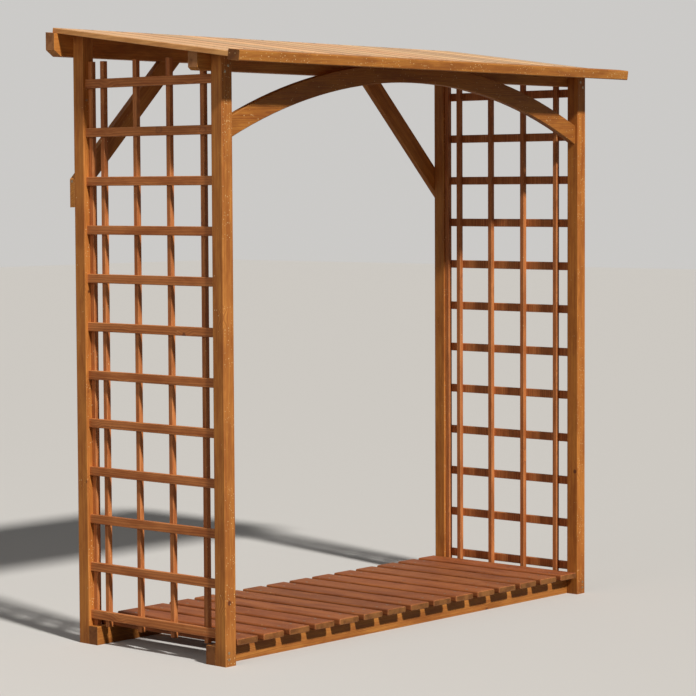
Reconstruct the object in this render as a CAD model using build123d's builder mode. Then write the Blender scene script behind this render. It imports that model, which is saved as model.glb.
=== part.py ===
from build123d import *
import os
from math import cos, radians, sin, sqrt, tan

# A lean-to log store of planed softwood with a slatted floor, trellised ends,
# a boarded roof that falls to the front and an arch below the eave.
# X runs along the front, Y from front to back and Z up, in millimetres.
# The origin is on the ground, in the middle of the overall outline.

# Posts, measured over their outer faces
store_width = 1800.0
store_depth = 645.0
post_size = 45.0
post_arris = 3.0

# Roof boards, laid side by side from front to back
roof_slope = 7.6
roof_height = 1818.0  # underside of the boards, over the front faces of the posts
roof_side_overhang = 63.0
roof_front_overhang = 88.0
roof_rear_overhang = 22.0
board_count = 15
board_thickness = 16.0
board_joint = 2.0
board_arris = 1.5

# Eave batten, closing the lower ends of the boards
batten_depth = 46.0
batten_upstand = 7.0
batten_drop = 9.0
batten_arris = 4.0

# Beams behind the posts, with bevelled lower corners at their ends
beam_thickness = 38.0
beam_arris = 1.5
front_beam_height = 52.0
front_beam_overhang = 55.0
front_bevel_length = 12.0
front_bevel_height = 9.0
rear_beam_height = 70.0
rear_beam_overhang = 77.0
rear_bevel_length = 29.0
rear_bevel_height = 20.0

# Braces below the rear beam
brace_width = 62.0
brace_thickness = 20.0
brace_angle = 45.0
brace_head = 434.0  # from the middle of the beam to the brace's lower edge

# Arch between the front posts
arch_radius = 2035.0
arch_depth = 59.0
arch_thickness = 23.0
arch_set_back = 12.0
arch_clearance = 0.5
arch_arris = 2.0

# Base rails and floor slats
rail_height = 58.0
rail_thickness = 38.0
rail_arris = 1.5
slat_count = 15
slat_width = 90.0
slat_thickness = 20.0
slat_side_clearance = 5.0
slat_arris = 5.0
slat_end_arris = 2.0

# Trellises: bars outside, uprights lapped against their inner faces
bar_count = 12
bar_height = 28.0
bar_thickness = 12.0
bar_set_in = 10.0
bar_floor_clearance = 2.0
bar_head_clearance = 8.5
free_upright_count = 4
upright_size = 17.0
upright_front_gap = 51.0
upright_rear_gap = 36.0
upright_head_clearance = 12.5
trellis_arris = 1.5

# Lines that the pieces share: depths of the posts' faces, and the slope
slope = radians(roof_slope)
batten_height = batten_drop + board_thickness + batten_upstand
eave_reach = (
    roof_front_overhang
    + (batten_depth - batten_arris) * cos(slope)
    + (board_thickness + batten_upstand - batten_arris) * sin(slope)
    + batten_arris
)
overall_depth = eave_reach + store_depth + beam_thickness
front = eave_reach - overall_depth / 2
back = front + store_depth
outer_x = store_width / 2
inner_x = outer_x - post_size

# Planes to draw on: upright ones facing the front, and the underside of the roof
front_plane = Plane.XZ.offset(-front)
behind_front_posts = Plane.XZ.offset(-(front + post_size))
behind_rear_posts = Plane.XZ.offset(-back)
roof_plane = Plane(
    origin=(0, front, roof_height), x_dir=(1, 0, 0), z_dir=(0, -sin(slope), cos(slope))
)


def roof_underside(y):
    """Height of the underside of the roof boards at a given depth."""
    return roof_height + (y - front) * tan(slope)


os.makedirs("parts", exist_ok=True)

# Posts, standing on the ground with their tops cut to the slope of the roof
post_places = {
    "front_left_post": (-outer_x + post_size / 2, front + post_size / 2),
    "front_right_post": (outer_x - post_size / 2, front + post_size / 2),
    "rear_left_post": (-outer_x + post_size / 2, back - post_size / 2),
    "rear_right_post": (outer_x - post_size / 2, back - post_size / 2),
}
for name, (x, y) in post_places.items():
    with BuildPart() as post:
        with BuildSketch(Plane.XY):
            with Locations((x, y)):
                RectangleRounded(post_size, post_size, post_arris)
        extrude(amount=roof_underside(y + post_size / 2))
        split(bisect_by=roof_plane, keep=Keep.BOTTOM)
    post.part.label = name
    export_step(post.part, f"parts/{name}.step")

# Base rails, lying on the ground against the inner sides of the posts
rail_depths = {
    "front_base_rail": front + post_size + rail_thickness / 2,
    "rear_base_rail": back - post_size - rail_thickness / 2,
}
for name, y in rail_depths.items():
    with BuildPart() as rail:
        with BuildSketch(Plane.YZ.offset(-outer_x)):
            with Locations((y, rail_height / 2)):
                RectangleRounded(rail_thickness, rail_height, rail_arris)
        extrude(amount=store_width)
    rail.part.label = name
    export_step(rail.part, f"parts/{name}.step")

# Floor slats across the rails, evenly spaced, with rounded edges and eased front ends
slat_pitch = (2 * inner_x - 2 * slat_side_clearance - slat_width) / (slat_count - 1)
for i in range(slat_count):
    name = f"floor_slat_{i + 1:02d}"
    x = (i - (slat_count - 1) / 2) * slat_pitch
    with BuildPart() as slat:
        with BuildSketch(front_plane):
            with Locations((x, rail_height + slat_thickness / 2)):
                RectangleRounded(slat_width, slat_thickness, slat_arris)
        extrude(amount=-store_depth)
        front_end = slat.faces().sort_by(Axis.Y)[0]
        chamfer(front_end.edges(), slat_end_arris)
    slat.part.label = name
    export_step(slat.part, f"parts/{name}.step")

# Front beam across the backs of the front posts, below the boards
front_beam_underside = roof_underside(front + post_size) - front_beam_height
front_beam_end = outer_x + front_beam_overhang
front_beam_top = roof_underside(front + post_size + beam_thickness)
with BuildPart() as front_beam:
    with BuildSketch(behind_front_posts):
        with BuildLine():
            Polyline(
                (-front_beam_end + front_bevel_length, front_beam_underside),
                (front_beam_end - front_bevel_length, front_beam_underside),
                (front_beam_end, front_beam_underside + front_bevel_height),
                (front_beam_end, front_beam_top),
                (-front_beam_end, front_beam_top),
                (-front_beam_end, front_beam_underside + front_bevel_height),
                close=True,
            )
        make_face()
    extrude(amount=-beam_thickness)
    lower_arrises = front_beam.edges().filter_by(Axis.X).group_by(Axis.Z)[0]
    fillet(lower_arrises, beam_arris)
    split(bisect_by=roof_plane, keep=Keep.BOTTOM)
front_beam.part.label = "front_beam"
export_step(front_beam.part, "parts/front_beam.step")

# Rear beam across the backs of the rear posts, with long bevels at its ends
rear_beam_underside = roof_underside(back) - rear_beam_height
rear_beam_end = outer_x + rear_beam_overhang
rear_beam_top = roof_underside(back + beam_thickness)
with BuildPart() as rear_beam:
    with BuildSketch(behind_rear_posts):
        with BuildLine():
            Polyline(
                (-rear_beam_end + rear_bevel_length, rear_beam_underside),
                (rear_beam_end - rear_bevel_length, rear_beam_underside),
                (rear_beam_end, rear_beam_underside + rear_bevel_height),
                (rear_beam_end, rear_beam_top),
                (-rear_beam_end, rear_beam_top),
                (-rear_beam_end, rear_beam_underside + rear_bevel_height),
                close=True,
            )
        make_face()
    extrude(amount=-beam_thickness)
    lower_arrises = rear_beam.edges().filter_by(Axis.X).group_by(Axis.Z)[0]
    fillet(lower_arrises, beam_arris)
    split(bisect_by=roof_plane, keep=Keep.BOTTOM)
rear_beam.part.label = "rear_beam"
export_step(rear_beam.part, "parts/rear_beam.step")

# Rear braces, from the underside of the beam to the outer faces of the posts
brace_foot = brace_head + brace_width / sin(radians(brace_angle))
brace_fall = tan(radians(brace_angle))
for name, side in (("rear_left_brace", -1), ("rear_right_brace", 1)):
    with BuildPart() as brace:
        with BuildSketch(behind_rear_posts):
            with BuildLine():
                Polyline(
                    (side * brace_head, rear_beam_underside),
                    (side * brace_foot, rear_beam_underside),
                    (side * outer_x, rear_beam_underside - (outer_x - brace_foot) * brace_fall),
                    (side * outer_x, rear_beam_underside - (outer_x - brace_head) * brace_fall),
                    close=True,
                )
            make_face()
        extrude(amount=-brace_thickness)
    brace.part.label = name
    export_step(brace.part, f"parts/{name}.step")

# Arch between the front posts, its crown just below the boards
arch_crown = roof_underside(front + arch_set_back) - arch_clearance
arch_centre = arch_crown - arch_depth - arch_radius
arch_springing = arch_centre + sqrt(arch_radius**2 - inner_x**2)
arch_shoulder = arch_centre + sqrt((arch_radius + arch_depth) ** 2 - inner_x**2)
with BuildPart() as front_arch:
    with BuildSketch(Plane.XZ.offset(-(front + arch_set_back))):
        with BuildLine():
            ThreePointArc(
                (-inner_x, arch_springing), (0, arch_crown - arch_depth), (inner_x, arch_springing)
            )
            Line((inner_x, arch_springing), (inner_x, arch_shoulder))
            ThreePointArc((inner_x, arch_shoulder), (0, arch_crown), (-inner_x, arch_shoulder))
            Line((-inner_x, arch_shoulder), (-inner_x, arch_springing))
        make_face()
    extrude(amount=-arch_thickness)
    chamfer(front_arch.edges().filter_by(GeomType.CIRCLE), arch_arris)
front_arch.part.label = "front_arch"
export_step(front_arch.part, "parts/front_arch.step")

# Trellises between the front and rear posts, one lattice at each end
upright_foot = rail_height
upright_head = roof_underside(front + post_size + upright_front_gap) - upright_head_clearance
first_upright = front + post_size + upright_front_gap + upright_size / 2
last_upright = back - post_size - upright_size / 2
last_free_upright = last_upright - upright_size - upright_rear_gap
upright_pitch = (last_free_upright - first_upright) / (free_upright_count - 1)
upright_depths = [first_upright + i * upright_pitch for i in range(free_upright_count)]
upright_depths.append(last_upright)
lowest_bar = rail_height + slat_thickness + bar_floor_clearance + bar_height / 2
highest_bar = front_beam_underside - bar_head_clearance - bar_height / 2
bar_pitch = (highest_bar - lowest_bar) / (bar_count - 1)
bar_x = outer_x - bar_set_in - bar_thickness / 2
upright_x = bar_x - bar_thickness / 2 - upright_size / 2
for name, side in (("left_trellis", -1), ("right_trellis", 1)):
    with BuildPart() as trellis:
        with BuildSketch(behind_front_posts):
            with Locations([(side * bar_x, lowest_bar + i * bar_pitch) for i in range(bar_count)]):
                bar_section = Rectangle(bar_thickness, bar_height)
            chamfer(bar_section.vertices(), trellis_arris)
        extrude(amount=-(store_depth - 2 * post_size))
        with BuildSketch(Plane.XY.offset(upright_foot)):
            with Locations([(side * upright_x, y) for y in upright_depths]):
                upright_section = Rectangle(upright_size, upright_size)
            chamfer(upright_section.vertices(), trellis_arris)
        extrude(amount=upright_head - upright_foot)
    trellis.part.label = name
    export_step(trellis.part, f"parts/{name}.step")

# Roof boards on the posts and beams, their ends square to the slope
roof_width = store_width + 2 * roof_side_overhang
board_pitch = (roof_width + board_joint) / board_count
board_width = board_pitch - board_joint
board_length = (roof_front_overhang + store_depth + roof_rear_overhang) / cos(slope)
eave_plane = Plane(
    origin=(0, front - roof_front_overhang, roof_underside(front - roof_front_overhang)),
    x_dir=(1, 0, 0),
    z_dir=(0, -cos(slope), -sin(slope)),
)
for i in range(board_count):
    name = f"roof_board_{i + 1:02d}"
    x = (i - (board_count - 1) / 2) * board_pitch
    with BuildPart() as board:
        with BuildSketch(eave_plane):
            with Locations((x, board_thickness / 2)):
                board_section = Rectangle(board_width, board_thickness)
            chamfer(board_section.vertices(), board_arris)
        extrude(amount=-board_length)
    board.part.label = name
    export_step(board.part, f"parts/{name}.step")

# Eave batten across the lower ends of the boards
with BuildPart() as eave_batten:
    with BuildSketch(eave_plane):
        with Locations((0, batten_height / 2 - batten_drop)):
            Rectangle(roof_width, batten_height)
    extrude(amount=batten_depth)
    fillet(eave_batten.edges().filter_by(Axis.X), batten_arris)
eave_batten.part.label = "eave_batten"
export_step(eave_batten.part, "parts/eave_batten.step")
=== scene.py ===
"""Looks of a lean-to timber log store, dressed on its packed construction model."""

import logging
import math
from dataclasses import dataclass, replace
from enum import Enum

import bpy
from mathutils import Matrix, Vector


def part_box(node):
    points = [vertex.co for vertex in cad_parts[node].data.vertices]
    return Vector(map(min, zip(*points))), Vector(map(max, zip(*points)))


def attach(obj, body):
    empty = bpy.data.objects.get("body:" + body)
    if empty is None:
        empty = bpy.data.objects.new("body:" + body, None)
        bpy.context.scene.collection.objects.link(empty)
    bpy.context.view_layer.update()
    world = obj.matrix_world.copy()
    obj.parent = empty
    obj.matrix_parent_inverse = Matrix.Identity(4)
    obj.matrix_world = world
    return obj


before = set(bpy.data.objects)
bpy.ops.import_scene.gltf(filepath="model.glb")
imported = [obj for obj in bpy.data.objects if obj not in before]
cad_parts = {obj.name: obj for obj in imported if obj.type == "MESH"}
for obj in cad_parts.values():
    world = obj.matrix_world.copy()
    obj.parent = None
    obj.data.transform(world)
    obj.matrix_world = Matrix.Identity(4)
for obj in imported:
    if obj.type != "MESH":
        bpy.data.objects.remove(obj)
log = logging.getLogger("log_store")

Colour = tuple[float, float, float]
Place = tuple[float, float, float]
Scales = tuple[float, float, float]
Span = tuple[float, float]
Spot = tuple[float, float]
Seat = tuple[str, Vector, Vector]
Socket = bpy.types.NodeSocket

FIGURE_VALUES = ("Late", "Streak", "Fibre", "Knot", "Shade")
WEATHER_VALUES = ("Wear And Highlight", "Damp", "Speck")
STAIN_TONES = {"Early Wood": "early", "Late Wood": "late", "Streaks": "streak", "Knots": "knot",
               "End Grain": "end_grain", "Worn And Highlight": "worn_and_highlight"}
END_SPAN: Span = (0.80, 0.92)
LEFT_KNOTS: tuple[Spot, ...] = ((0.0032, 1.6030), (-0.1839, 1.5995))


def linear(red: int, green: int, blue: int) -> Colour:
    """Turn a screen colour, 0 to 255 each, into the linear colour of a shader."""
    seen = (red / 255, green / 255, blue / 255)
    return tuple(c / 12.92 if c <= 0.04045 else ((c + 0.055) / 1.055) ** 2.4 for c in seen)


class Grain(Enum):
    """The way that the grain of a piece runs, as turns that lay it along local X."""

    ACROSS = (0.0, 0.0, 0.0)
    DEPTH = (0.0, 0.0, math.pi / 2)
    UPRIGHT = (0.0, -math.pi / 2, 0.0)


class Draw(Enum):
    """What a steady number between 0 and 1 is drawn for."""

    LIGHT = 1.0
    WARMTH = 2.0
    POST_PITH_ACROSS = 3.0
    POST_PITH_DEEP = 4.0
    BOARD_PITH_ACROSS = 5.0
    BOARD_PITH_DEEP = 6.0
    # Draws how dark a roof board's joints are: painted shade of the gaps, together with grime.
    SHADE_AND_GRIME = 7.0
    SCREW_TURN = 9.0


@dataclass(frozen=True)
class Stain:
    """Colours of one stained softwood, from the pale early wood to the knots."""

    early: Colour
    late: Colour
    streak: Colour
    knot: Colour
    end_grain: Colour
    # Pale colour of the arrises: worn wood together with a painted highlight.
    worn_and_highlight: Colour
    roughness: float = 0.62


FRAME_STAIN = Stain(
    early=linear(212, 144, 68),
    late=linear(154, 88, 34),
    streak=linear(180, 108, 46),
    knot=linear(84, 38, 16),
    end_grain=linear(140, 90, 50),
    worn_and_highlight=linear(222, 166, 104),
)
TRELLIS_STAIN = Stain(
    early=linear(212, 136, 78),
    late=linear(126, 65, 30),
    streak=linear(178, 100, 49),
    knot=linear(78, 36, 18),
    end_grain=linear(134, 86, 50),
    worn_and_highlight=linear(212, 152, 100),
)
FLOOR_STAIN = Stain(
    early=linear(172, 102, 54),
    late=linear(124, 66, 30),
    streak=linear(148, 80, 40),
    knot=linear(72, 36, 18),
    end_grain=linear(140, 92, 46),
    worn_and_highlight=linear(196, 138, 88),
    roughness=0.68,
)
ROOF_STAIN = Stain(
    early=linear(240, 182, 116),
    late=linear(206, 142, 84),
    streak=linear(224, 160, 98),
    knot=linear(104, 54, 26),
    end_grain=linear(120, 74, 36),
    worn_and_highlight=linear(236, 192, 142),
)

BEAM_STAIN = replace(FRAME_STAIN, end_grain=linear(164, 112, 70))


class NodeTree:
    """A short hand for laying out the nodes of one material or group."""

    def __init__(self, tree: bpy.types.NodeTree) -> None:
        """Keep the tree to work in."""
        self.tree = tree

    def add(self, kind: str, **settings: object) -> bpy.types.Node:
        """Add one node.

        Args:
            kind: the type name of the node.
            settings: properties to set on it.

        Returns:
            The new node.
        """
        node = self.tree.nodes.new(kind)
        for name, value in settings.items():
            setattr(node, name, value)
        return node

    def feed(self, source: Socket | float | tuple, target: Socket) -> None:
        """Link a socket to another one, or set its value.

        Args:
            source: an output socket, or a value.
            target: the input socket.
        """
        if isinstance(source, bpy.types.NodeSocket):
            self.tree.links.new(source, target)
        elif isinstance(source, tuple) and target.type == "RGBA":
            target.default_value = (*source[:3], 1.0)
        else:
            target.default_value = source

    def maths(self, operation: str, first: Socket | float, second: Socket | float = 0.0,
              clamp: bool = False) -> Socket:
        """Work out a number from one or two numbers.

        Args:
            operation: the name of the sum.
            first: the first number.
            second: the second number.
            clamp: whether the result stays between 0 and 1.

        Returns:
            The output socket.
        """
        node = self.add("ShaderNodeMath", operation=operation, use_clamp=clamp)
        for value, socket in zip((first, second), node.inputs):
            self.feed(value, socket)
        return node.outputs[0]

    def times(self, first: Socket | float, second: Socket | float) -> Socket:
        """Multiply two numbers."""
        return self.maths("MULTIPLY", first, second)

    def plus(self, first: Socket | float, second: Socket | float) -> Socket:
        """Add two numbers."""
        return self.maths("ADD", first, second)

    def minus(self, first: Socket | float, second: Socket | float) -> Socket:
        """Take the second number from the first."""
        return self.maths("SUBTRACT", first, second)

    def vector_maths(self, operation: str, first: Socket | tuple,
                     second: Socket | tuple = (0, 0, 0)) -> Socket:
        """Work out a vector, or a number for a length or a dot product, from one or two vectors.

        Args:
            operation: the name of the sum.
            first: the first vector.
            second: the second vector.

        Returns:
            The output socket.
        """
        node = self.add("ShaderNodeVectorMath", operation=operation)
        self.feed(first, node.inputs[0])
        self.feed(second, node.inputs[1])
        return node.outputs["Value"] if operation in ("LENGTH", "DOT_PRODUCT") else node.outputs[0]

    def scaled(self, vector: Socket, factors: Scales) -> Socket:
        """Scale a vector by fixed factors."""
        return self.vector_maths("MULTIPLY", vector, factors)

    def split(self, vector: Socket) -> tuple[Socket, Socket, Socket]:
        """Split a vector into its three numbers."""
        node = self.add("ShaderNodeSeparateXYZ")
        self.feed(vector, node.inputs[0])
        return node.outputs[0], node.outputs[1], node.outputs[2]

    def join(self, x: Socket | float, y: Socket | float, z: Socket | float) -> Socket:
        """Join three numbers into a vector."""
        node = self.add("ShaderNodeCombineXYZ")
        for value, socket in zip((x, y, z), node.inputs):
            self.feed(value, socket)
        return node.outputs[0]

    def noise(self, vector: Socket, scale: float, detail: float = 2.0, rough: float = 0.5) -> Socket:
        """Make a smooth noise between 0 and 1.

        Args:
            vector: where the noise is read.
            scale: how fine it is.
            detail: how many finer layers it has.
            rough: how strong the finer layers are.

        Returns:
            The value of the noise.
        """
        node = self.add("ShaderNodeTexNoise", noise_dimensions="3D")
        self.feed(vector, node.inputs["Vector"])
        self.feed(scale, node.inputs["Scale"])
        self.feed(detail, node.inputs["Detail"])
        self.feed(rough, node.inputs["Roughness"])
        return node.outputs["Fac"]

    def ramp(self, value: Socket, low: float, high: float) -> Socket:
        """Stretch the part of a value between two levels to 0 to 1, with eased ends.

        Args:
            value: the value.
            low: the level that becomes 0.
            high: the level that becomes 1.

        Returns:
            The stretched value.
        """
        node = self.add("ShaderNodeMapRange", interpolation_type="SMOOTHSTEP")
        self.feed(value, node.inputs["Value"])
        self.feed(low, node.inputs["From Min"])
        self.feed(high, node.inputs["From Max"])
        return node.outputs["Result"]

    def blend(self, amount: Socket | float, base: Socket | Colour, top: Socket | Colour,
              mode: str = "MIX") -> Socket:
        """Lay one colour over another.

        Args:
            amount: how much of the top colour shows.
            base: the colour below.
            top: the colour above.
            mode: the way that they mix.

        Returns:
            The mixed colour.
        """
        node = self.add("ShaderNodeMix", data_type="RGBA", blend_type=mode)
        self.feed(amount, node.inputs[0])
        self.feed(base, node.inputs[6])
        self.feed(top, node.inputs[7])
        return node.outputs[2]

    def tinted(self, base: Socket, tint: Colour) -> Socket:
        """Multiply a colour by a fixed tint."""
        return self.blend(1.0, base, tint, "MULTIPLY")

    def relief(self, height: Socket, strength: float, depth: float, shader: bpy.types.Node) -> None:
        """Give a surface its fine relief.

        Args:
            height: the height of the surface, as a share of the depth.
            strength: how strongly the relief shows.
            depth: its depth in metres.
            shader: the material's shader.
        """
        bump = self.add("ShaderNodeBump")
        self.feed(strength, bump.inputs["Strength"])
        self.feed(depth, bump.inputs["Distance"])
        self.feed(height, bump.inputs["Height"])
        self.feed(bump.outputs["Normal"], shader.inputs["Normal"])


def new_group(name: str, inputs: list[tuple[str, str, object]], outputs: list[tuple[str, str]]
              ) -> tuple[NodeTree, bpy.types.Node, bpy.types.Node]:
    """Start a group of shader nodes.

    Args:
        name: the name of the group.
        inputs: name, socket type and starting value of each input.
        outputs: name and socket type of each output.

    Returns:
        The layout helper, the group's input node and its output node.
    """
    tree = bpy.data.node_groups.new(name, "ShaderNodeTree")
    for label, kind, value in inputs:
        socket = tree.interface.new_socket(name=label, in_out="INPUT", socket_type=kind)
        if value is not None:
            socket.default_value = value
    for label, kind in outputs:
        tree.interface.new_socket(name=label, in_out="OUTPUT", socket_type=kind)
    layout = NodeTree(tree)
    return layout, layout.add("NodeGroupInput"), layout.add("NodeGroupOutput")


def new_material(name: str) -> tuple[bpy.types.Material, NodeTree, bpy.types.Node]:
    """Start a material.

    Args:
        name: the name of the material.

    Returns:
        The material, its layout helper and its shader.
    """
    made = bpy.data.materials.new(name)
    made.use_nodes = True
    return made, NodeTree(made.node_tree), made.node_tree.nodes["Principled BSDF"]


@dataclass(frozen=True)
class SoftwoodFigure:
    """The figure of sawn softwood: growth rings, streaks, fibres and knots.

    The vector that it reads runs along the grain in X, with the pith on the line where
    Y and Z are zero, all in metres.
    """

    name: str = "softwood_figure"
    seed_step: float = 7.31
    knot_cells: Scales = (3.4, 16.0, 16.0)
    knot_cell_sizes: Scales = (0.29, 0.0625, 0.0625)
    knot_scatter: float = 0.9
    knot_pick: float = 0.62
    knot_edge_scale: float = 260.0
    knot_edge_depth: float = 0.003
    knot_span: Span = (0.0105, 0.0075)
    bulge_span: Span = (0.045, 0.004)
    bulge_depth: float = 0.014
    sway_scales: Scales = (1.6, 9.0, 9.0)
    sway_depth: float = 0.030
    uneven_pace: float = 0.35
    uneven_depth: float = 1.2
    late_rise: Span = (0.25, 0.86)
    late_fall: Span = (1.0, 0.93)
    strength_scale: float = 1.7
    strength_span: Span = (0.1, 0.75)
    streak_scales: Scales = (3.4, 120.0, 120.0)
    streak_rough: float = 0.62
    streak_span: Span = (0.38, 0.64)
    fibre_scales: Scales = (26.0, 900.0, 900.0)
    fibre_rough: float = 0.65
    shade_scales: Scales = (6.5, 26.0, 26.0)
    shade_rough: float = 0.6

    def build(self) -> bpy.types.NodeTree:
        """Build the group.

        Returns:
            The group's tree.
        """
        outputs = [(label, "NodeSocketFloat") for label in FIGURE_VALUES]
        inputs = [
            ("Vector", "NodeSocketVector", None),
            ("Seed", "NodeSocketFloat", 0.0),
            ("Ring Width", "NodeSocketFloat", 0.004),
            ("Knot Amount", "NodeSocketFloat", 1.0),
        ]
        t, given, result = new_group(self.name, inputs, outputs)
        x, y, z = t.split(given.outputs["Vector"])
        shift = t.times(given.outputs["Seed"], self.seed_step)
        along = t.join(t.plus(x, shift), y, z)

        cells = t.add("ShaderNodeTexVoronoi", feature="F1", voronoi_dimensions="3D")
        celled = t.scaled(along, self.knot_cells)
        t.feed(celled, cells.inputs["Vector"])
        t.feed(1.0, cells.inputs["Scale"])
        t.feed(self.knot_scatter, cells.inputs["Randomness"])
        away = t.vector_maths("SUBTRACT", celled, cells.outputs["Position"])
        near = t.vector_maths("LENGTH", t.scaled(away, self.knot_cell_sizes))
        picked = t.maths("GREATER_THAN", t.split(cells.outputs["Color"])[0], self.knot_pick)
        picked = t.times(picked, given.outputs["Knot Amount"])
        edge = t.plus(near, t.times(t.noise(along, self.knot_edge_scale), self.knot_edge_depth))
        knot = t.times(t.ramp(edge, *self.knot_span), picked)
        bulge = t.times(t.ramp(near, *self.bulge_span), picked)

        sway = t.times(t.minus(t.noise(t.scaled(along, self.sway_scales), 1.0), 0.5), self.sway_depth)
        radius = t.plus(t.vector_maths("LENGTH", t.join(0.0, y, z)), sway)
        radius = t.plus(radius, t.times(bulge, self.bulge_depth))
        rings = t.maths("DIVIDE", radius, given.outputs["Ring Width"])
        uneven = t.noise(t.join(t.times(rings, self.uneven_pace), shift, 0.0), 1.0, 1.0)
        rings = t.plus(rings, t.times(uneven, self.uneven_depth))
        phase = t.maths("FRACT", rings)
        late = t.times(t.ramp(phase, *self.late_rise), t.ramp(phase, *self.late_fall))
        strength = t.noise(t.join(t.maths("FLOOR", rings), shift, 0.0), self.strength_scale, 0.0)
        late = t.maths("MULTIPLY", late, t.ramp(strength, *self.strength_span), clamp=True)

        streak = t.noise(t.scaled(along, self.streak_scales), 1.0, 4.0, self.streak_rough)
        fibre = t.noise(t.scaled(along, self.fibre_scales), 1.0, 3.0, self.fibre_rough)
        shade = t.noise(t.scaled(along, self.shade_scales), 1.0, 4.0, self.shade_rough)
        values = (late, t.ramp(streak, *self.streak_span), fibre, knot, shade)
        for label, value in zip(FIGURE_VALUES, values):
            t.feed(value, result.inputs[label])
        return t.tree


@dataclass(frozen=True)
class SoftwoodColour:
    """The colour, roughness and relief of stained softwood, from its figure."""

    name: str = "softwood_colour"
    ring_strength: float = 0.70
    streak_strength: float = 0.62
    fibre_span: Span = (0.36, 0.66)
    fibre_share: float = 0.6
    fibre_tone: Colour = (0.72, 0.66, 0.58)
    shade_span: Span = (0.34, 0.60)
    shade_tone: Colour = (0.74, 0.66, 0.58)
    knot_strength: float = 0.85
    end_ring_strength: float = 0.5
    end_span: Span = (0.36, 0.62)
    end_tone: Colour = (0.58, 0.52, 0.46)
    bleach_share: float = 0.5
    bleached: Colour = linear(236, 206, 170)
    # How pale the arrises get: wear together with a painted highlight.
    wear_and_highlight_strength: float = 0.75
    # Dark tone of the board joints: painted shade of the gaps, together with grime.
    shade_and_grime_tone: Colour = (0.22, 0.13, 0.07)
    damp_tone: Colour = (0.60, 0.56, 0.54)
    speck_strength: float = 0.8
    speck: Colour = linear(238, 202, 144)
    fibre_roughness: float = 0.25
    knot_smoothness: float = 0.12
    end_roughness: float = 0.15
    late_height: float = 0.35
    fibre_height: float = 0.55
    knot_height: float = 0.5

    def build(self) -> bpy.types.NodeTree:
        """Build the group.

        Returns:
            The group's tree.
        """
        masks = (*FIGURE_VALUES, "End", "Shade And Grime", "Bleach", *WEATHER_VALUES)
        inputs = [(label, "NodeSocketFloat", 0.0) for label in masks]
        inputs += [(label, "NodeSocketColor", None) for label in STAIN_TONES]
        inputs.append(("Roughness", "NodeSocketFloat", 0.6))
        outputs = [("Color", "NodeSocketColor"), ("Roughness", "NodeSocketFloat"),
                   ("Height", "NodeSocketFloat")]
        t, given, result = new_group(self.name, inputs, outputs)
        g = given.outputs
        fine = t.ramp(g["Fibre"], *self.fibre_span)
        ringed = t.blend(t.times(g["Late"], self.ring_strength), g["Early Wood"], g["Late Wood"])
        streaked = t.blend(t.times(g["Streak"], self.streak_strength), ringed, g["Streaks"])
        fibres = t.plus(t.times(fine, self.fibre_share), 1.0 - self.fibre_share)
        fibrous = t.blend(fibres, t.tinted(streaked, self.fibre_tone), streaked)
        shaded = t.blend(t.ramp(g["Shade"], *self.shade_span), t.tinted(fibrous, self.shade_tone), fibrous)
        knotted = t.blend(t.times(g["Knot"], self.knot_strength), shaded, g["Knots"])
        ends = t.blend(t.times(g["Late"], self.end_ring_strength), g["End Grain"], g["Late Wood"])
        ends = t.blend(t.ramp(g["Shade"], *self.end_span), t.tinted(ends, self.end_tone), ends)
        cut = t.blend(g["End"], knotted, ends)
        patchy = t.plus(t.times(fine, self.bleach_share), 1.0 - self.bleach_share)
        bleached = t.blend(t.times(g["Bleach"], patchy), cut, self.bleached)
        # Paler arrises: partly real wear, partly a painted highlight where the edges catch the light.
        worn_and_highlight = t.blend(t.times(g["Wear And Highlight"], self.wear_and_highlight_strength), bleached, g["Worn And Highlight"])
        # Darkens along the board joints: painted shade of the gaps, together with grime.
        shaded_and_soiled = t.blend(g["Shade And Grime"], worn_and_highlight, t.tinted(worn_and_highlight, self.shade_and_grime_tone))
        wet = t.blend(g["Damp"], shaded_and_soiled, t.tinted(shaded_and_soiled, self.damp_tone))
        specked = t.blend(t.times(g["Speck"], self.speck_strength), wet, self.speck)
        t.feed(specked, result.inputs["Color"])
        rough = t.plus(g["Roughness"], t.times(t.minus(g["Fibre"], 0.5), self.fibre_roughness))
        rough = t.minus(rough, t.times(g["Knot"], self.knot_smoothness))
        rough = t.maths("ADD", rough, t.times(g["End"], self.end_roughness), clamp=True)
        t.feed(rough, result.inputs["Roughness"])
        height = t.plus(t.times(g["Late"], self.late_height), t.times(g["Fibre"], self.fibre_height))
        t.feed(t.plus(height, t.times(g["Knot"], self.knot_height)), result.inputs["Height"])
        return t.tree


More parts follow.
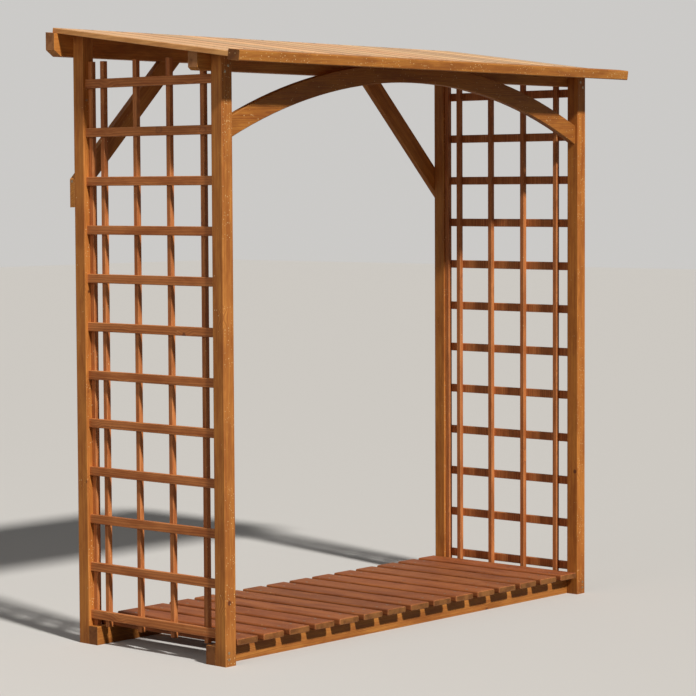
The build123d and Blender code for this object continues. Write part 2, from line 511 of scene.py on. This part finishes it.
@dataclass(frozen=True)
class Weathering:
    """Marks that a store carries: paler arrises, partly real wear and partly a painted highlight, with damp
    feet and pale specks.
    """

    name: str = "weathering"
    edge_span: Span = (0.995, 0.90)
    edge_patch_scale: float = 46.0
    edge_patch_span: Span = (0.34, 0.60)
    damp_scales: Scales = (28.0, 28.0, 9.0)
    damp_ragged: float = 0.10
    damp_span: Span = (0.045, -0.035)
    damp_strength: float = 0.55
    speck_scale: float = 130.0
    speck_least: float = 0.13
    speck_spread: float = 0.14
    speck_rim: Span = (1.0, 0.6)
    cluster_scale: float = 11.0
    cluster_span: Span = (0.38, 0.64)
    front_span: Span = (-0.5, -0.9)
    front_share: float = 0.75
    other_share: float = 0.08

    def build(self) -> bpy.types.NodeTree:
        """Build the group.

        Returns:
            The group's tree.
        """
        inputs = [
            ("Place", "NodeSocketVector", None),
            ("Normal", "NodeSocketVector", None),
            ("Rounded Normal", "NodeSocketVector", None),
            ("Seed", "NodeSocketFloat", 0.0),
            ("Speck Amount", "NodeSocketFloat", 1.0),
        ]
        outputs = [(label, "NodeSocketFloat") for label in WEATHER_VALUES]
        t, given, result = new_group(self.name, inputs, outputs)
        place = given.outputs["Place"]
        turned = t.vector_maths("DOT_PRODUCT", given.outputs["Normal"], given.outputs["Rounded Normal"])
        patchy = t.ramp(t.noise(place, self.edge_patch_scale, 3.0), *self.edge_patch_span)
        # Paler arrises: partly worn wood, partly a painted highlight where the edges catch the light.
        t.feed(t.times(t.ramp(turned, *self.edge_span), patchy), result.inputs["Wear And Highlight"])
        ragged = t.times(t.noise(t.scaled(place, self.damp_scales), 1.0, 3.0), self.damp_ragged)
        damp = t.ramp(t.minus(t.split(place)[2], ragged), *self.damp_span)
        t.feed(t.times(damp, self.damp_strength), result.inputs["Damp"])
        dots = t.add("ShaderNodeTexVoronoi", feature="F1", voronoi_dimensions="3D")
        t.feed(t.vector_maths("ADD", place, t.join(given.outputs["Seed"], 0.0, 0.0)), dots.inputs["Vector"])
        t.feed(self.speck_scale, dots.inputs["Scale"])
        picks = t.split(dots.outputs["Color"])
        reach = t.plus(t.times(picks[0], self.speck_spread), self.speck_least)
        small = t.ramp(t.maths("DIVIDE", dots.outputs["Distance"], reach), *self.speck_rim)
        clustered = t.ramp(t.noise(place, self.cluster_scale, 3.0), *self.cluster_span)
        front = t.ramp(t.split(given.outputs["Normal"])[1], *self.front_span)
        share = t.times(clustered, t.plus(t.times(front, self.front_share), self.other_share))
        chosen = t.maths("LESS_THAN", picks[1], t.times(share, given.outputs["Speck Amount"]))
        t.feed(t.times(small, chosen), result.inputs["Speck"])
        return t.tree


GROUPS: dict[str, bpy.types.NodeTree] = {}


@dataclass(frozen=True)
class Timber:
    """One piece of stained timber: its stain, how its grain runs and where its pith was."""

    name: str
    stain: Stain
    grain: Grain
    seed: float
    pith: tuple[float, float] = (0.035, 0.025)
    ring_width: float = 0.0042
    knots: float = 1.0
    tilt: float = 0.0
    tint: Colour = (1.0, 1.0, 1.0)
    half_width: float = 0.0
    # How strongly the joints darken: painted shade of the gaps, together with grime.
    shade_and_grime: float = 1.0
    specks: float = 1.0
    bleach: float = 0.0
    seed_step: float = 0.37
    arris_reach: float = 0.0022
    sunny_span: Span = (0.6, 0.95)
    # Shape of the band of painted joint shade and grime along each board's edges.
    shade_and_grime_scales: Scales = (9.0, 60.0, 60.0)
    shade_and_grime_ragged: float = 0.008
    shade_and_grime_inner: float = 0.017
    shade_and_grime_outer: float = 0.004
    level_span: Span = (0.80, 0.95)
    refraction: float = 1.46
    gloss: float = 0.35
    relief: float = 0.45
    relief_depth: float = 0.0009

    def material(self) -> bpy.types.Material:
        """Make the material of this piece.

        Returns:
            The material.
        """
        made, t, shader = new_material(self.name)
        coordinates = t.add("ShaderNodeTexCoord")
        turn = self.grain.value
        mapping = t.add("ShaderNodeMapping", vector_type="TEXTURE")
        t.feed(coordinates.outputs["Object"], mapping.inputs["Vector"])
        mapping.inputs["Location"].default_value = centre_of(self.name)
        mapping.inputs["Rotation"].default_value = (turn[0], turn[1] + self.tilt, turn[2])
        local = t.vector_maths("ADD", mapping.outputs[0], (0.0, *self.pith))
        local = t.vector_maths("ADD", local, (self.seed * self.seed_step, 0.0, 0.0))
        self.dress(t, shader, local, mapping.inputs["Rotation"].default_value, coordinates)
        return made

    def dress(self, t: NodeTree, shader: bpy.types.Node, local: Socket, turn: tuple,
              coordinates: bpy.types.Node) -> tuple[bpy.types.Node, bpy.types.Node]:
        """Join the figure, the weathering and the colours to the shader.

        Args:
            t: the material's layout.
            shader: the material's shader.
            local: coordinates with the grain along X and the pith at zero.
            turn: the turn of the piece, for telling its cut ends.
            coordinates: the texture coordinate node.

        Returns:
            The node of the figure and the node of the colour.
        """
        normal = coordinates.outputs["Normal"]
        figure = t.add("ShaderNodeGroup", node_tree=GROUPS[SoftwoodFigure.name])
        t.feed(local, figure.inputs["Vector"])
        t.feed(self.seed, figure.inputs["Seed"])
        t.feed(self.ring_width, figure.inputs["Ring Width"])
        t.feed(self.knots, figure.inputs["Knot Amount"])
        bevel = t.add("ShaderNodeBevel", samples=4)
        t.feed(self.arris_reach, bevel.inputs["Radius"])
        weather = t.add("ShaderNodeGroup", node_tree=GROUPS[Weathering.name])
        t.feed(coordinates.outputs["Object"], weather.inputs["Place"])
        t.feed(normal, weather.inputs["Normal"])
        t.feed(bevel.outputs["Normal"], weather.inputs["Rounded Normal"])
        t.feed(self.seed, weather.inputs["Seed"])
        t.feed(self.specks, weather.inputs["Speck Amount"])
        colour = t.add("ShaderNodeGroup", node_tree=GROUPS[SoftwoodColour.name])
        for label in FIGURE_VALUES:
            t.feed(figure.outputs[label], colour.inputs[label])
        for label in WEATHER_VALUES:
            t.feed(weather.outputs[label], colour.inputs[label])
        axis = Matrix.Rotation(turn[2], 3, "Z") @ Matrix.Rotation(turn[1], 3, "Y") @ Vector((1, 0, 0))
        facing = t.maths("ABSOLUTE", t.vector_maths("DOT_PRODUCT", normal, tuple(axis)))
        t.feed(t.ramp(facing, *END_SPAN), colour.inputs["End"])
        if self.bleach:
            sunny = t.ramp(t.split(normal)[2], *self.sunny_span)
            t.feed(t.times(sunny, self.bleach), colour.inputs["Bleach"])
        if self.half_width:
            # Painted shade of the gaps, together with grime, darkens the level faces along the joints with
            # the next boards.
            across = t.maths("ABSOLUTE", t.minus(t.split(local)[1], self.pith[0]))
            ragged = t.times(t.noise(t.scaled(local, self.shade_and_grime_scales), 1.0), self.shade_and_grime_ragged)
            span = (self.half_width - self.shade_and_grime_inner, self.half_width - self.shade_and_grime_outer)
            level = t.ramp(t.maths("ABSOLUTE", t.split(normal)[2]), *self.level_span)
            joint_shade_and_grime = t.times(t.ramp(t.plus(across, ragged), *span), level)
            t.feed(t.times(joint_shade_and_grime, self.shade_and_grime), colour.inputs["Shade And Grime"])
        for label, tone in STAIN_TONES.items():
            tinted = tuple(c * k for c, k in zip(getattr(self.stain, tone), self.tint))
            t.feed(tinted, colour.inputs[label])
        t.feed(self.stain.roughness, colour.inputs["Roughness"])
        t.feed(colour.outputs["Color"], shader.inputs["Base Color"])
        t.feed(colour.outputs["Roughness"], shader.inputs["Roughness"])
        t.feed(self.refraction, shader.inputs["IOR"])
        t.feed(self.gloss, shader.inputs["Specular IOR Level"])
        t.relief(colour.outputs["Height"], self.relief, self.relief_depth, shader)
        return figure, colour


def wear_material(node: str, material: bpy.types.Material) -> None:
    """Give a construction node its material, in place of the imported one.

    Args:
        node: the node's name.
        material: its new material.
    """
    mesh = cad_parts[node].data
    mesh.materials.clear()
    mesh.materials.append(material)


def centre_of(node: str) -> Place:
    """Find the middle of a construction node's box."""
    low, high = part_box(node)
    return tuple((low + high) / 2)


def chance(number: int, draw: Draw) -> float:
    """Pick a steady number between 0 and 1 for a piece.

    Args:
        number: the number of the piece.
        draw: what the number is for.

    Returns:
        The number picked.
    """
    return math.fmod(abs(math.sin(number * 12.9898 + draw.value * 78.233)) * 43758.5453, 1.0)


def tint_of(number: int, amount: float) -> Colour:
    """Pick a small change of tone for a piece.

    Args:
        number: the number of the piece.
        amount: how far the tone may go from the stain's own.

    Returns:
        The factors for red, green and blue.
    """
    light = 1.0 + (chance(number, Draw.LIGHT) - 0.5) * 2 * amount
    warm = 1.0 + (chance(number, Draw.WARMTH) - 0.5) * amount
    return (light, light * warm, light * warm * warm)


@dataclass
class Carcass:
    """Posts, base rails, beams, braces and arch."""

    posts: tuple[str, ...] = ("front_left_post", "front_right_post", "rear_left_post", "rear_right_post")
    level: tuple[str, ...] = ("front_base_rail", "rear_base_rail", "front_beam", "rear_beam", "front_arch")
    braces: tuple[tuple[str, int], ...] = (("rear_left_brace", -1), ("rear_right_brace", 1))
    brace_turn: float = math.radians(45.0)
    tone_change: float = 0.06
    # The arch is darker and more orange than the frame: partly its own tone, partly painted shade of the eave
    # above it.
    arch_tint_and_shade: Colour = (0.74, 0.68, 0.53)
    post_tints: tuple[Colour, ...] = (
        (0.92, 0.88, 0.88), (0.91, 0.81, 0.66), (0.95, 0.88, 0.86), (0.93, 0.88, 0.84),
    )

    def dress(self) -> list[str]:
        """Give the frame timbers their finish.

        Returns:
            The names of the pieces.
        """
        for number, node in enumerate(self.posts):
            across = 0.040 + 0.02 * chance(number, Draw.POST_PITH_ACROSS)
            deep = -0.030 - 0.02 * chance(number, Draw.POST_PITH_DEEP)
            timber = Timber(node, FRAME_STAIN, Grain.UPRIGHT, number + 1.0,
                            pith=(across, deep), ring_width=0.0046, tint=self.post_tints[number], specks=1.5)
            wear_material(node, timber.material())
        for number, node in enumerate(self.level, 11):
            # The arch's tint carries painted shade as well as its own tone; the other pieces get a random
            # tone.
            tint = self.arch_tint_and_shade if node == "front_arch" else tint_of(number, self.tone_change)
            stain = BEAM_STAIN if node.endswith("beam") else FRAME_STAIN
            timber = Timber(node, stain, Grain.ACROSS, float(number),
                            pith=(0.030, 0.045), ring_width=0.0044, knots=0.8, tint=tint, specks=0.15)
            wear_material(node, timber.material())
        for number, (node, side) in enumerate(self.braces, 21):
            timber = Timber(node, FRAME_STAIN, Grain.ACROSS, float(number),
                            pith=(0.020, 0.050), ring_width=0.0044, knots=0.6, tilt=side * self.brace_turn,
                            tint=tint_of(number, self.tone_change), specks=0.3)
            wear_material(node, timber.material())
        return [*self.posts, *self.level, *(node for node, side in self.braces)]


@dataclass
class Floor:
    """Slats of the floor."""

    count: int = 15
    tone_change: float = 0.12

    def dress(self) -> list[str]:
        """Give each slat its own cut of the floor timber.

        Returns:
            The names of the pieces.
        """
        names = [f"floor_slat_{i:02d}" for i in range(1, self.count + 1)]
        for number, node in enumerate(names, 31):
            across = 0.02 + 0.05 * chance(number, Draw.BOARD_PITH_ACROSS)
            deep = 0.015 + 0.03 * chance(number, Draw.BOARD_PITH_DEEP)
            timber = Timber(node, FLOOR_STAIN, Grain.DEPTH, float(number),
                            pith=(across, deep), ring_width=0.0048, knots=0.7,
                            tint=tint_of(number, self.tone_change), specks=0.4)
            wear_material(node, timber.material())
        return names


@dataclass
class Roof:
    """Boards of the roof and the batten at the eave."""

    count: int = 15
    board_width: float = 0.1264
    tone_change: float = 0.30
    # How dark each board's joints are: painted shade of the gaps, together with grime.
    least_shade_and_grime: float = 0.40
    shade_and_grime_spread: float = 0.60
    batten: str = "eave_batten"
    batten_tint: Colour = (0.83, 0.81, 0.71)

    def dress(self) -> list[str]:
        """Give each board its own cut of the roof timber.

        Returns:
            The names of the pieces.
        """
        names = [f"roof_board_{i:02d}" for i in range(1, self.count + 1)]
        for number, node in enumerate(names, 51):
            across = 0.06 * (chance(number, Draw.BOARD_PITH_ACROSS) - 0.5)
            deep = 0.02 + 0.03 * chance(number, Draw.BOARD_PITH_DEEP)
            timber = Timber(node, ROOF_STAIN, Grain.DEPTH, float(number),
                            pith=(across, deep), ring_width=0.0060, knots=0.8,
                            tint=tint_of(number, self.tone_change), half_width=self.board_width / 2,
                            shade_and_grime=self.least_shade_and_grime + self.shade_and_grime_spread * chance(number, Draw.SHADE_AND_GRIME),
                            specks=0.3, bleach=0.58)
            wear_material(node, timber.material())
        batten = Timber(self.batten, FRAME_STAIN, Grain.ACROSS, 71.0,
                        pith=(0.02, 0.03), tint=self.batten_tint, specks=2.4)
        wear_material(self.batten, batten.material())
        return [*names, self.batten]


@dataclass
class Trellis:
    """A lattice of bars and uprights at one end of the store."""

    side: int
    outer_x: float = 0.9
    bar_set_in: float = 0.010
    bar_thickness: float = 0.012
    bar_pitch: float = 0.15
    bar_shift: float = 0.03
    bar_step: float = 31.7
    bar_pith: float = 0.86
    upright_pitch: float = 0.147
    upright_shift: float = 0.02
    upright_step: float = 23.9
    upright_pith: float = 0.845
    pith_aside: float = 0.02
    mark_stretch: float = 0.75
    mark_edge_scale: float = 110.0
    mark_edge_depth: float = 0.012
    mark_rim_outer: Span = (0.0190, 0.0160)
    mark_rim_inner: Span = (0.0100, 0.0150)
    mark_rim_strength: float = 0.4
    mark_body: Span = (0.0170, 0.0060)
    mark_body_strength: float = 0.35
    marked: tuple[Spot, ...] = ()

    @property
    def node(self) -> str:
        """Name the construction node of this trellis."""
        return "left_trellis" if self.side < 0 else "right_trellis"

    def dress(self) -> list[str]:
        """Finish the bars and the uprights, each with its own figure along its own grain.

        Returns:
            The names of the pieces.
        """
        made, t, shader = new_material(self.node)
        coordinates = t.add("ShaderNodeTexCoord")
        place = coordinates.outputs["Object"]
        x, y, z = t.split(place)
        lap = self.outer_x - self.bar_set_in - self.bar_thickness
        is_bar = t.maths("GREATER_THAN", t.maths("ABSOLUTE", x), lap)
        bar_row = t.maths("SNAP", t.plus(z, self.bar_shift), self.bar_pitch)
        upright_row = t.maths("SNAP", t.plus(y, self.upright_shift), self.upright_pitch)
        bar_local = self.stick(t, (y, z, x), bar_row, self.bar_step, self.bar_pith)
        upright_local = self.stick(t, (z, y, x), upright_row, self.upright_step, self.upright_pith)
        chosen = t.add("ShaderNodeMix", data_type="VECTOR")
        t.feed(is_bar, chosen.inputs[0])
        t.feed(upright_local, chosen.inputs[4])
        t.feed(bar_local, chosen.inputs[5])
        seed = 81.0 if self.side < 0 else 82.0
        timber = Timber(self.node, TRELLIS_STAIN, Grain.ACROSS, seed, pith=(0.0, 0.0),
                        ring_width=0.0070, knots=0.8, specks=0.5)
        figure, colour = timber.dress(t, shader, chosen.outputs[1], (0.0, 0.0, 0.0), coordinates)
        knot = figure.outputs["Knot"]
        for along, up in self.marked:
            aside = t.join(t.times(t.minus(y, along), self.mark_stretch), t.minus(z, up), 0.0)
            ragged = t.times(t.noise(place, self.mark_edge_scale), self.mark_edge_depth)
            away = t.plus(t.vector_maths("LENGTH", aside), ragged)
            rim = t.times(t.ramp(away, *self.mark_rim_outer), t.ramp(away, *self.mark_rim_inner))
            body = t.times(t.ramp(away, *self.mark_body), self.mark_body_strength)
            knot = t.maths("MAXIMUM", knot, t.plus(t.times(rim, self.mark_rim_strength), body))
        t.feed(t.times(knot, is_bar), colour.inputs["Knot"])
        normal = t.split(coordinates.outputs["Normal"])
        facing = t.add("ShaderNodeMix", data_type="FLOAT")
        t.feed(is_bar, facing.inputs[0])
        t.feed(t.maths("ABSOLUTE", normal[2]), facing.inputs[2])
        t.feed(t.maths("ABSOLUTE", normal[1]), facing.inputs[3])
        t.feed(t.ramp(facing.outputs[0], *END_SPAN), colour.inputs["End"])
        wear_material(self.node, made)
        return [self.node]

    def stick(self, t: NodeTree, axes: tuple[Socket, Socket, Socket], row: Socket, step: float,
              pith: float) -> Socket:
        """Lay the grain of each bar or upright along itself.

        Args:
            t: the material's layout.
            axes: the place along the stick, across it and through the store's side.
            row: the place of the stick among the others.
            step: how far the figure moves on from one stick to the next.
            pith: how far out the pith lies.

        Returns:
            Coordinates with the grain along X.
        """
        along, across, through = axes
        return t.join(t.plus(along, t.times(row, step)), t.plus(t.minus(across, row), self.pith_aside),
                      t.plus(through, -pith * self.side))


@dataclass(frozen=True)
class ZincPlate:
    """Dulled zinc plate on a screw's head."""

    tone: Colour = linear(182, 170, 146)
    dull: Colour = linear(104, 90, 70)
    cloud_scale: float = 900.0
    cloud_span: Span = (0.35, 0.70)
    roughness: float = 0.32
    dull_roughness: float = 0.25
    relief: float = 0.2
    relief_depth: float = 0.0002

    def material(self) -> bpy.types.Material:
        """Make the material.

        Returns:
            The material.
        """
        made, t, shader = new_material("zinc_plate")
        place = t.add("ShaderNodeTexCoord").outputs["Object"]
        cloudy = t.ramp(t.noise(place, self.cloud_scale, 3.0), *self.cloud_span)
        t.feed(t.blend(cloudy, self.tone, self.dull), shader.inputs["Base Color"])
        t.feed(t.plus(t.times(cloudy, self.dull_roughness), self.roughness), shader.inputs["Roughness"])
        t.feed(1.0, shader.inputs["Metallic"])
        t.relief(cloudy, self.relief, self.relief_depth, shader)
        return made


def deselect_all() -> None:
    """Leave nothing selected."""
    for thing in bpy.context.selected_objects:
        thing.select_set(False)


@dataclass
class Screws:
    """Countersunk screws that hold the store together, with cross recesses in their heads."""

    head_radius: float = 0.0042
    head_sides: int = 16
    rim_share: float = 0.16
    dome_share: float = 0.5
    smooth_angle: float = math.radians(30)
    shank_radius: float = 0.0020
    sunk: float = 0.0030
    proud: float = 0.0003
    recess_reach: float = 0.0024
    recess_width: float = 0.0010
    recess_depth: float = 0.0014
    slat_spread: float = 0.026
    board_spread: float = 0.036
    rear_row: float = 0.009
    front_spots: tuple[Spot, ...] = ((0.885, 1.768), (0.871, 1.786), (0.886, 0.021), (0.886, 0.041))
    rear_spots: tuple[Spot, ...] = ((0.885, 1.700), (0.870, 1.722))
    brace_spot: Spot = (0.900, 1.449)

    def pattern(self) -> bpy.types.Object:
        """Model one screw's head, facing up, at the origin.

        Returns:
            The pattern screw.
        """
        deselect_all()
        depth = self.sunk + self.proud
        bpy.ops.mesh.primitive_cylinder_add(vertices=self.head_sides, radius=self.head_radius,
                                            depth=depth, location=(0, 0, self.proud - depth / 2))
        screw = bpy.context.active_object
        screw.name = "screw_pattern"
        bpy.ops.object.transform_apply(location=True, rotation=False, scale=False)
        bpy.ops.object.mode_set(mode="EDIT")
        self.pick_face(screw, top=False)
        narrow = self.shank_radius / self.head_radius
        bpy.ops.transform.resize(value=(narrow, narrow, 1.0), center_override=(0, 0, 0))
        self.pick_face(screw, top=True)
        bpy.ops.mesh.inset(thickness=self.head_radius * self.rim_share)
        bpy.ops.transform.translate(value=(0, 0, self.proud * self.dome_share))
        bpy.ops.object.mode_set(mode="OBJECT")
        half_width = self.recess_width / 2
        for reach in ((self.recess_reach, half_width), (half_width, self.recess_reach)):
            self.cut_slot(screw, reach)
        deselect_all()
        screw.select_set(True)
        bpy.context.view_layer.objects.active = screw
        bpy.ops.object.shade_smooth_by_angle(angle=self.smooth_angle)
        return screw

    def cut_slot(self, screw: bpy.types.Object, reach: tuple[float, float]) -> None:
        """Cut one arm of the cross into the head.

        Args:
            screw: the screw being shaped.
            reach: how far the slot runs from the middle in X and Y.
        """
        deselect_all()
        top = self.proud * (1.0 + self.dome_share)
        bpy.ops.mesh.primitive_cube_add(size=2, location=(0, 0, top))
        cutter = bpy.context.active_object
        cutter.scale = (*reach, self.recess_depth)
        bpy.ops.object.transform_apply(location=True, rotation=True, scale=True)
        cut = screw.modifiers.new("slot", "BOOLEAN")
        cut.operation = "DIFFERENCE"
        cut.object = cutter
        deselect_all()
        screw.select_set(True)
        bpy.context.view_layer.objects.active = screw
        bpy.ops.object.modifier_apply(modifier=cut.name)
        bpy.data.objects.remove(cutter, do_unlink=True)

    @staticmethod
    def pick_face(screw: bpy.types.Object, top: bool) -> None:
        """Select the highest or the lowest flat face in edit mode.

        Args:
            screw: the screw being shaped.
            top: whether the highest face is wanted, or else the lowest.
        """
        bpy.ops.mesh.select_mode(type="FACE")
        bpy.ops.mesh.select_all(action="DESELECT")
        bpy.ops.object.mode_set(mode="OBJECT")
        faces = sorted(screw.data.polygons, key=lambda face: face.center.z)
        (faces[-1] if top else faces[0]).select = True
        bpy.ops.object.mode_set(mode="EDIT")

    def frame_seats(self) -> list[Seat]:
        """Place the screws of the posts, the beams, the rails and the braces.

        Returns:
            The name, the seat and the facing of each screw.
        """
        seats = []
        ahead = Vector((0, -1, 0))
        for side, hand in ((-1, "left"), (1, "right")):
            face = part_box(f"front_{hand}_post")[0].y
            for number, (x, z) in enumerate(self.front_spots, 1):
                seats.append((f"front_{hand}_post_screw_{number}", Vector((side * x, face, z)), ahead))
            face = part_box(f"rear_{hand}_post")[0].y
            for number, (x, z) in enumerate(self.rear_spots, 1):
                seats.append((f"rear_{hand}_post_screw_{number}", Vector((side * x, face, z)), ahead))
            low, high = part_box(f"rear_{hand}_brace")
            x, z = self.brace_spot
            seat = Vector((side * x, (low.y + high.y) / 2, z))
            seats.append((f"rear_{hand}_brace_screw", seat, Vector((side, 0, 0))))
        return seats

    def floor_seats(self) -> list[Seat]:
        """Place two screws at each end of every slat, above the base rails.

        Returns:
            The name, the seat and the facing of each screw.
        """
        seats = []
        rails = [sum(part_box(node), Vector()) / 2 for node in ("front_base_rail", "rear_base_rail")]
        for slat in range(1, Floor.count + 1):
            low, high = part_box(f"floor_slat_{slat:02d}")
            for end, rail in zip("fr", rails):
                for spot, shift in (("a", -self.slat_spread), ("b", self.slat_spread)):
                    seat = Vector(((low.x + high.x) / 2 + shift, rail.y, high.z))
                    seats.append((f"slat_{slat:02d}_screw_{end}{spot}", seat, Vector((0, 0, 1))))
        return seats

    def roof_seats(self) -> list[Seat]:
        """Place two screws in every board above each beam.

        Returns:
            The name, the seat and the facing of each screw.
        """
        seats = []
        rows = (sum(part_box("front_beam"), Vector()).y / 2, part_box("rear_beam")[0].y + self.rear_row)
        for board in range(1, Roof.count + 1):
            node = f"roof_board_{board:02d}"
            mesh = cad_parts[node].data
            top = max(mesh.polygons, key=lambda face: face.normal.z * face.area)
            middle = centre_of(node)[0]
            for end, row in zip("fr", rows):
                for spot, shift in (("a", -self.board_spread), ("b", self.board_spread)):
                    seat = Vector((middle + shift, row, 0.0))
                    seat.z = top.center.z - (seat - top.center).to_2d().dot(top.normal.to_2d()) / top.normal.z
                    seats.append((f"board_{board:02d}_screw_{end}{spot}", seat, top.normal.copy()))
        return seats

    def build(self) -> list[str]:
        """Drive every screw.

        Returns:
            The names of the screws.
        """
        pattern = self.pattern()
        pattern.data.materials.append(ZincPlate().material())
        names = []
        for name, seat, facing in [*self.frame_seats(), *self.floor_seats(), *self.roof_seats()]:
            screw = pattern.copy()
            screw.data = pattern.data.copy()
            screw.name = name
            turn = Matrix.Rotation(math.tau * chance(len(names), Draw.SCREW_TURN), 4, "Z")
            tilt = facing.to_track_quat("Z", "Y").to_matrix().to_4x4()
            screw.data.transform(Matrix.Translation(seat) @ tilt @ turn)
            bpy.context.scene.collection.objects.link(screw)
            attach(screw, "root")
            names.append(name)
        bpy.data.objects.remove(pattern, do_unlink=True)
        return names


@dataclass
class Studio:
    """Plain pale floor, soft light and the camera."""

    floor_size: float = 60.0
    floor_shown: Colour = (0.67, 0.66, 0.645)
    floor_bounce: Colour = (0.15, 0.147, 0.14)
    floor_roughness: float = 0.9
    floor_gloss: float = 0.1
    sky_tone: Colour = (1.0, 0.985, 0.96)
    sky_strength: float = 0.11
    backdrop: Colour = (0.60, 0.59, 0.575)
    lamp_tone: Colour = (1.0, 0.965, 0.91)
    key_towards: Place = (-0.179, -0.768, 0.653)
    key_width: float = 4.0
    key_power: float = 3.9
    fill_place: Place = (-6.0, -0.6, 3.0)
    fill_aim: Place = (0.0, 0.0, 0.9)
    fill_size: float = 3.0
    fill_power: float = 58.0
    eye: Place = (-6.1649, -5.4502, 1.4236)
    yaw: float = 0.8437
    pitch: float = -0.0638
    roll: float = -0.0047
    sensor_width: float = 36.0
    lens: float = 129.346

    @staticmethod
    def seen_directly(t: NodeTree) -> Socket:
        """Tell the rays that show a surface to the camera from those that light other surfaces.

        Args:
            t: the layout of the material or the sky.

        Returns:
            One for a ray that shows the surface, also in metal or through glass, or else zero.
        """
        rays = t.add("ShaderNodeLightPath")
        shown = t.maths("MAXIMUM", rays.outputs["Is Camera Ray"], rays.outputs["Is Glossy Ray"])
        return t.maths("MAXIMUM", shown, rays.outputs["Is Transmission Ray"])

    def build_floor(self) -> None:
        """Lay a pale floor below the store."""
        deselect_all()
        bpy.ops.mesh.primitive_plane_add(size=self.floor_size, location=(0, 0, 0))
        floor = bpy.context.active_object
        floor.name = "studio_floor"
        made, t, shader = new_material("studio_floor")
        tone = t.blend(self.seen_directly(t), self.floor_bounce, self.floor_shown)
        t.feed(tone, shader.inputs["Base Color"])
        t.feed(self.floor_roughness, shader.inputs["Roughness"])
        t.feed(self.floor_gloss, shader.inputs["Specular IOR Level"])
        floor.data.materials.append(made)

    def light(self) -> None:
        """Set soft lamps and an even sky, with a pale backdrop behind the store."""
        world = bpy.data.worlds.new("studio")
        world.use_nodes = True
        bpy.context.scene.world = world
        t = NodeTree(world.node_tree)
        sky = world.node_tree.nodes["Background"]
        t.feed(self.sky_tone, sky.inputs["Color"])
        t.feed(self.sky_strength, sky.inputs["Strength"])
        seen = t.add("ShaderNodeBackground")
        t.feed(self.backdrop, seen.inputs["Color"])
        t.feed(1.0, seen.inputs["Strength"])
        mixed = t.add("ShaderNodeMixShader")
        t.feed(self.seen_directly(t), mixed.inputs[0])
        t.feed(sky.outputs[0], mixed.inputs[1])
        t.feed(seen.outputs[0], mixed.inputs[2])
        t.feed(mixed.outputs[0], world.node_tree.nodes["World Output"].inputs["Surface"])
        key = self.lamp("key", "SUN", self.key_power, -Vector(self.key_towards))
        key.data.angle = math.radians(self.key_width)
        fill = self.lamp("fill", "AREA", self.fill_power, Vector(self.fill_aim) - Vector(self.fill_place))
        fill.data.size = self.fill_size
        fill.location = self.fill_place

    def lamp(self, name: str, kind: str, power: float, facing: Vector) -> bpy.types.Object:
        """Set one lamp.

        Args:
            name: the lamp's name.
            kind: the sort of lamp.
            power: its strength.
            facing: the direction in which it shines.

        Returns:
            The lamp.
        """
        data = bpy.data.lights.new(name, kind)
        data.energy = power
        data.color = self.lamp_tone
        lamp = bpy.data.objects.new(name, data)
        bpy.context.scene.collection.objects.link(lamp)
        lamp.rotation_euler = facing.to_track_quat("-Z", "Y").to_euler()
        return lamp

    def camera(self) -> None:
        """Set the camera at the view of the photograph."""
        level = math.cos(self.pitch)
        forward = Vector((math.sin(self.yaw) * level, math.cos(self.yaw) * level, math.sin(self.pitch)))
        right = forward.cross(Vector((0, 0, 1))).normalized()
        up = right.cross(forward)
        side = math.cos(self.roll) * right + math.sin(self.roll) * up
        top = -math.sin(self.roll) * right + math.cos(self.roll) * up
        data = bpy.data.cameras.new("camera")
        data.sensor_width = self.sensor_width
        data.lens = self.lens
        camera = bpy.data.objects.new("camera", data)
        bpy.context.scene.collection.objects.link(camera)
        turn = Matrix((side, top, -forward)).transposed().to_4x4()
        camera.matrix_world = Matrix.Translation(self.eye) @ turn
        bpy.context.scene.camera = camera


def main() -> None:
    """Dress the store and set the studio."""
    logging.basicConfig(level=logging.INFO, format="%(message)s")
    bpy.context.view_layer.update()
    for kind in (SoftwoodFigure(), SoftwoodColour(), Weathering()):
        GROUPS[kind.name] = kind.build()
    for assembly in (Carcass(), Floor(), Roof(), Trellis(-1, marked=LEFT_KNOTS), Trellis(1)):
        for name in assembly.dress():
            log.info("dressed %s", name)
    for name in Screws().build():
        log.info("drove %s", name)
    studio = Studio()
    studio.build_floor()
    studio.light()
    studio.camera()
    bpy.context.scene.view_settings.view_transform = "Standard"


if __name__ == "__main__":
    main()
